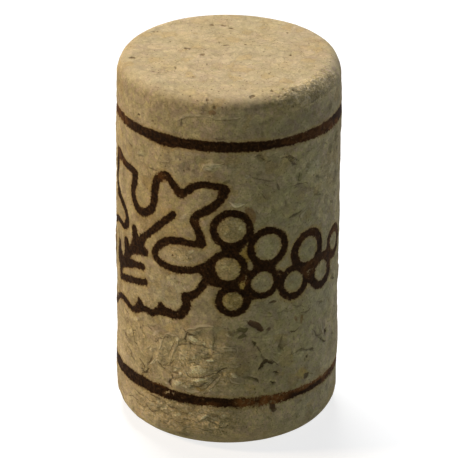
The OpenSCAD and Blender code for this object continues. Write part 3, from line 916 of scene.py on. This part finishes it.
def marked(t, f, colour):
    """colour with the listed spots, ridges, cracks and pits; and the last three. The proud granules'
    pale patches and the ridges' pale lines are partly painted highlights, a painted shadow runs
    beside each ridge, and the cracks and pits are dark partly by painted shade.
    """
    # Stained spots, and the proud granules' pale patches, which are partly painted highlights
    stain_and_highlight = t.node("Attribute", attribute_name="stain_and_highlight")
    depth = f.jitter * 0.14 + Value(t, stain_and_highlight["Alpha"])
    share = t.ramp(depth, 0.44, 0.58) * t.ramp(f.grain, 0.3, 0.6, 0.8, 1)
    colour = t.blend(share, colour, stain_and_highlight["Color"], "MULTIPLY")
    ridge, side, gap = t.drawn("ridges", f.jitter * 0.6)
    # A painted shadow along the right-hand side of each ridge
    under = t.ramp(side, -0.9, -1.4) * t.ramp(side, -3, -1.6) * t.ramp(gap, 0.22, 0.12)
    colour = t.blend(under * 0.45, colour, PAINTED_SHADOW_BESIDE_RIDGES)
    # The ridge's pale line, partly a worn edge and partly a painted highlight
    colour = t.blend(ridge * 0.65, colour, WORN_EDGE_AND_HIGHLIGHT)
    crack = t.drawn("cracks", f.jitter * 0.8)[0]
    # The cracks' dark colour, partly their own and partly painted shade
    colour = t.blend(crack * 0.9, colour, CRACK_AND_SHADE)
    # The pits' dark colour, partly their own and partly painted shade
    pit = t.ramp(f.jitter * 0.16 + t.kept("pit"), 0.42, 0.62)
    return t.blend(pit * 0.65, colour, PIT_AND_SHADE), ridge, crack, pit


def printed(t, f, colour):
    """colour under the print, which is ragged, flecked, and brown where it is worn; and how much
    ink each place has."""
    fleck_noise = t.noise(f.place, 3, 4, 0.7)
    level = 0.64 - f.worn * 0.12
    fleck = t.ramp(fleck_noise, level, level + 0.1, kind="LINEAR")
    ink = t.blend(t.ramp(fleck_noise, 0.4, 0.65), THICK_INK, THIN_INK)
    ink = t.blend(t.ramp(f.ink_edge, -0.16, 0.02, 0, 0.6), ink, SCORCHED)
    rusty = t.ramp(t.noise(f.place, 5, 2, 0.7), 0.58, 0.78, 0, 0.25)
    thin = t.ramp(f.grain, 0.3, 0.6, 0.85, 1) * t.ramp(f.mottle, 0.36, 0.48, 0.4, 1)
    brown = t.blend(t.ramp(f.mottle, 0.4, 0.58), WORN_INK, BROWN_INK)
    ink = t.blend(t.math("MAXIMUM", rusty, f.worn * thin), ink, brown)
    inked = t.ramp(f.ink_edge, 0.08, -0.07) * (1 - fleck * 0.38)
    return t.blend(inked, colour, ink), inked


def fine_relief(t, f, seam, ridge, crack, pit):
    """The height of the detail that is too fine for the mesh."""
    shards = f.shard[0] * 0.5 + f.small_shard[0] * t.between(f.crumbly, 1.3, 2)
    shards = shards + f.tiny_shard[0] * t.between(f.crumbly, 1.2, 4)
    crumpled = f.lump * 3.6 + f.small_lump * 1.3 + f.tiny_lump * 0.9
    height = f.grain * 0.6 + f.fine * (f.rough * 1.2 + 0.4)
    height = height + shards * f.rough * 1.6 + crumpled * f.crumbly
    return height - seam * 0.8 - t.math("MAXIMUM", crack, pit) + ridge


def cork_material():
    material = bpy.data.materials.new("pressed_cork")
    t = Tree(material)
    f = shared_fields(t)
    colour, seam = seamed_with_painted_light(t, f, flecked(t, f, shaded(t, f, cork_colour(t, f))))
    colour, ridge, crack, pit = marked(t, f, colour)
    colour, inked = printed(t, f, colour)
    height = fine_relief(t, f, seam, ridge, crack, pit)
    bump = t.node("Bump", {"Height": height, "Strength": 0.8, "Distance": 0.11 * MM})[0]
    inputs = {"Base Color": colour, "Roughness": 0.95 - inked * 0.15, "Normal": bump}
    shader = t.node("BsdfPrincipled", {**inputs, "Specular IOR Level": 0.05})[0]
    t.node("OutputMaterial", {"Surface": shader})
    return material


# ---- The cork ----
def keep(layers, kind, field, kept):
    """Keeps numbers for each point of the mesh, which the material reads by name."""
    for name, numbers in kept.items():
        made = layers.new(name, kind, "POINT")
        made.data.foreach_set(field, numbers.astype(np.float32).ravel())


def add_object(name, data):
    made = bpy.data.objects.new(name, data)
    bpy.context.scene.collection.objects.link(made)
    return made


def make_cork():
    rough, ink = roughness(), ink_distance()
    grain, tone, small_tone = grain_relief(rough)
    height = grain + broad_shape() + crumbled(rough) + marks()
    height = np.where(ON_FOOT, np.minimum(height, 0) * 0.6, height)
    height -= 0.03 * ramp(ink, 0.05, -0.1)
    places = (PLACES + NORMALS * height[:, None]) * MM
    places[:, 2] = np.maximum(places[:, 2], 0)
    mesh = bpy.data.meshes.new("cork_body")
    mesh.from_pydata(places.tolist(), [], FACES)
    mesh.shade_smooth()
    values = {"ink": ink, "worn_ink": strongest(FADED), "granule": tone, "small_granule": small_tone}
    keep(mesh.attributes, "FLOAT", "value", {**values, "rough": rough, "pit": top_pits()})
    # The ridges' pale lines are partly worn edges and partly painted highlights
    ridges = [(width, pale, *path) for width, _, pale, *path in RIDGES]
    lines = {"cracks": thin_lines(CRACKS), "ridges": thin_lines(ridges)}
    keep(mesh.attributes, "FLOAT_VECTOR", "vector", lines)
    keep(mesh.color_attributes, "FLOAT_COLOR", "color", {"stain_and_highlight": stains_and_highlights(), "tint_and_painted_light": tints_and_painted_light()})
    piece = add_object("cork_body", mesh)
    mesh.materials.append(cork_material())
    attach(piece, "root")
    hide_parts("cork")


# ---- Studio ----
LAMP_DISTANCE = 0.6  # in metres, from the cork's middle

# Name, azimuth and elevation in degrees, side in metres, level and colour
LAMPS = [
    ("overhead", -162, 69, 0.2, 0.88, (0.98, 0.985, 0.98)),
    ("left", -87, 30, 0.1, 0.6, (1, 0.8, 0.6)),
    ("right_back", 119, 8, 0.25, 0.25, (0.55, 0.65, 1)),
]


def floor_material():
    """White to the camera, with the object's shadow on it; to the light it throws back it is grey and glows
    dimly, a fill light on the object from a part that is no lamp.
    """
    material = bpy.data.materials.new("studio_floor")
    t = Tree(material)
    pale = t.shader("BsdfDiffuse", (0.34, 0.36, 0.31))
    # A dim glow of fill light that the floor throws on the object
    fill = t.shader("Emission", (0.94, 1, 0.86), Strength=0.165)
    glow = t.shader("Emission", (1, 1, 1), Strength=0.78)
    shadowed = t.shader("BsdfDiffuse", (0.38, 0.38, 0.38))
    grey = t.node("AddShader", {0: pale, 1: fill})[0]
    t.end("OutputMaterial", t.node("AddShader", {0: glow, 1: shadowed})[0], grey)
    return material


def make_floor():
    """The floor, a hair below the cork's foot."""
    bpy.ops.mesh.primitive_plane_add(size=6, location=(0, 0, -0.00002))
    floor = bpy.context.object
    floor.name = "studio_floor"
    floor.data.materials.append(floor_material())


def make_world():
    """White to the camera, and a dim light on the object."""
    world = bpy.data.worlds.new("studio")
    bpy.context.scene.world = world
    t = Tree(world)
    light = t.shader("Background", (0.86, 1, 1), Strength=0.03)
    white = t.shader("Background", (1, 1, 1), Strength=1)
    t.end("OutputWorld", white, light)


def make_lamp(name, azimuth, elevation, side, level, colour):
    """A square softbox that faces the cork. level is what it adds to a white face turned to it.

    azimuth 0 is in front of the cork and 90 is on its right.
    """
    lamp = bpy.data.lights.new(name, "AREA")
    lamp.shape = "SQUARE"
    lamp.size = side
    lamp.energy = level * pi * pi * LAMP_DISTANCE ** 2
    lamp.color = colour
    a, e = radians(azimuth), radians(elevation)
    way = Vector((sin(a) * cos(e), -cos(a) * cos(e), sin(e)))
    made = add_object(name, lamp)
    made.location = Vector((0, 0, HEIGHT * MM / 2)) + way * LAMP_DISTANCE
    made.rotation_euler = way.to_track_quat("Z", "Y").to_euler()


def make_camera():
    """The camera at the photograph's viewing angle, in front of the cork and above it."""
    aim = Vector((0.11, 0, 19.16)) * MM
    elevation, roll, distance = radians(25.72), radians(0.478), 420 * MM
    camera = bpy.data.cameras.new("camera")
    camera.sensor_width = 36
    camera.lens = 333.4
    camera.clip_start = 0.01
    back = Vector((0, -cos(elevation), sin(elevation))) * distance
    turn = Matrix.Rotation(pi / 2 - elevation, 4, "X") @ Matrix.Rotation(roll, 4, "Z")
    made = add_object("camera", camera)
    made.matrix_world = Matrix.Translation(aim + back) @ turn
    bpy.context.scene.camera = made


make_camera()
make_cork()
make_floor()
make_world()
for lamp in LAMPS:
    make_lamp(*lamp)
bpy.context.scene.view_settings.view_transform = "Standard"
